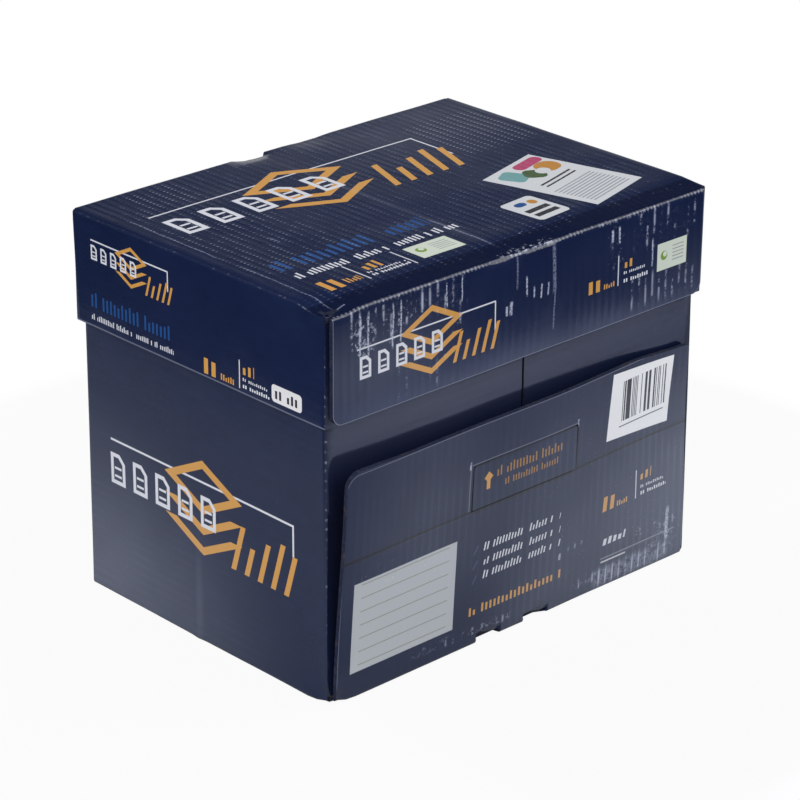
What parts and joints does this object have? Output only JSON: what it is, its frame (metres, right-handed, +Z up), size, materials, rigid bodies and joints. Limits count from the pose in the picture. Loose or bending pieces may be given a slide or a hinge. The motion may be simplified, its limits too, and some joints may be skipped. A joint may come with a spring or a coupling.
{
  "type": "carton of copier paper",
  "caption": "Folded corrugated carton with a lift-off telescoping lid and die-cut handle flaps, holding a stack of wrapped reams of office paper.",
  "frame": {"origin": "middle of the underside, on the surface the carton stands on", "axes": "+X along the long side, +Y towards the back panel, +Z up; the worn front panel faces -Y"},
  "size_m": [0.3136, 0.2398, 0.25],
  "materials": {
    "base_board": "navy printed corrugated board, faintly glossy",
    "lid_board": "navy printed corrugated board, scuffed on the flutes",
    "wrapper": "coated ream wrapper"
  },
  "bodies": {
    "base": {"carton_base": "base_board", "ream_1": "wrapper", "ream_2": "wrapper", "ream_3": "wrapper", "ream_4": "wrapper", "ream_5": "wrapper"},
    "lid": {"carton_lid": "lid_board"},
    "front_flap": {"front_handle_flap": "base_board"},
    "back_flap": {"back_handle_flap": "base_board"}
  },
  "joints": [
    {"name": "lid_lift", "type": "slide", "parent": "base", "child": "lid", "axis": [0, 0, 1], "range_m": [0, 0.1]},
    {"name": "front_flap_hinge", "type": "hinge", "parent": "base", "child": "front_flap", "pos_m": [0, -0.11692, 0.09352], "axis": [1, 0, 0], "range_deg": [0, 115]},
    {"name": "back_flap_hinge", "type": "hinge", "parent": "base", "child": "back_flap", "pos_m": [0, 0.11692, 0.09352], "axis": [-1, 0, 0], "range_deg": [0, 115]}
  ]
}
